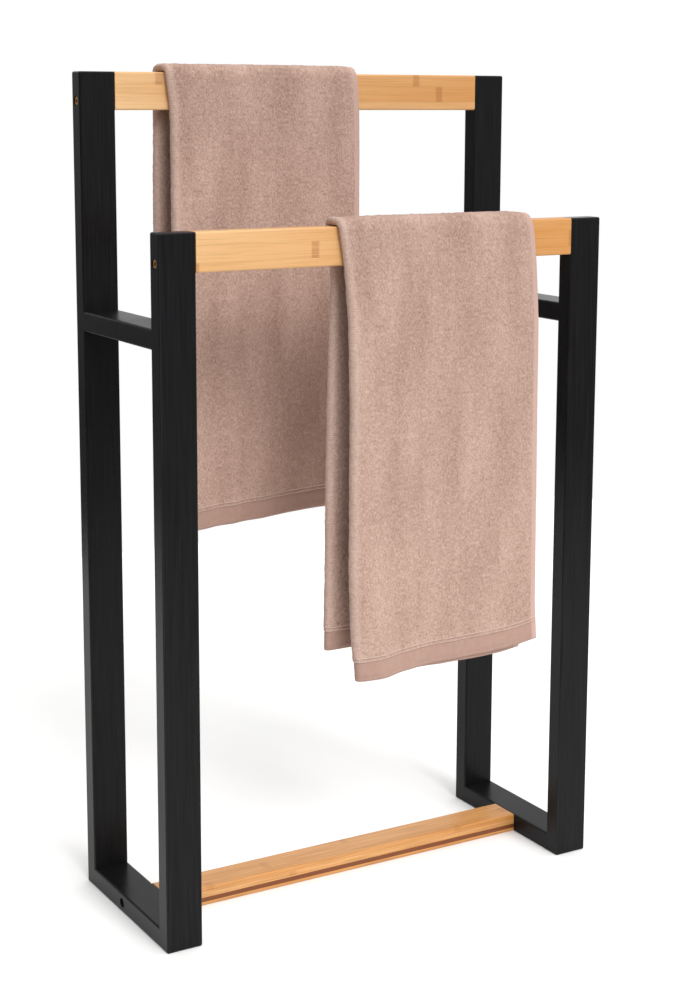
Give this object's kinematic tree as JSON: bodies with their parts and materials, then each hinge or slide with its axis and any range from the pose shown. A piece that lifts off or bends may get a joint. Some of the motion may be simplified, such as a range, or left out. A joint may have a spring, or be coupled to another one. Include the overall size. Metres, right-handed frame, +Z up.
{
  "type": "towel rack",
  "caption": "Free-standing stepped towel rack: dark wooden side frames, bamboo towel bars at different heights, a foot bar and draped folded towels.",
  "frame": {"origin": "on the floor at the centre of the rack's footprint", "axes": "+X to the right along the bars, +Y to the rear (the high bar), +Z up"},
  "size_m": [0.51, 0.218, 0.859],
  "materials": {
    "black_lacquered_wood": "satin black lacquer, fine vertical grain just showing",
    "bamboo": "clear satin lacquer on laminated bamboo strips",
    "yellow_zinc_steel": "yellow zinc plated",
    "dowel_wood": "bare beech",
    "terry_towel": "looped cotton terry with flat woven borders"
  },
  "bodies": {
    "rack": {"left_rear_post": "black_lacquered_wood", "left_front_post": "black_lacquered_wood", "left_bottom_rail": "black_lacquered_wood", "left_stretcher": "black_lacquered_wood", "left_frame_dowels": "dowel_wood", "right_rear_post": "black_lacquered_wood", "right_front_post": "black_lacquered_wood", "right_bottom_rail": "black_lacquered_wood", "right_stretcher": "black_lacquered_wood", "right_frame_dowels": "dowel_wood", "rear_towel_bar": "bamboo", "rear_bar_screws": "yellow_zinc_steel", "rear_bar_dowels": "dowel_wood", "front_towel_bar": "bamboo", "front_bar_screws": "yellow_zinc_steel", "front_bar_dowels": "dowel_wood", "foot_bar": "bamboo", "foot_bar_screws": "yellow_zinc_steel", "foot_bar_dowels": "dowel_wood"},
    "front_towel": {"front_towel": "terry_towel"},
    "rear_towel": {"rear_towel": "terry_towel"}
  },
  "joints": [
    {"name": "front_towel_slide", "type": "slide", "parent": "rack", "child": "front_towel", "axis": [1, 0, 0], "range_m": [-0.146, 0.038]},
    {"name": "rear_towel_slide", "type": "slide", "parent": "rack", "child": "rear_towel", "axis": [1, 0, 0], "range_m": [-0.046, 0.145]}
  ]
}
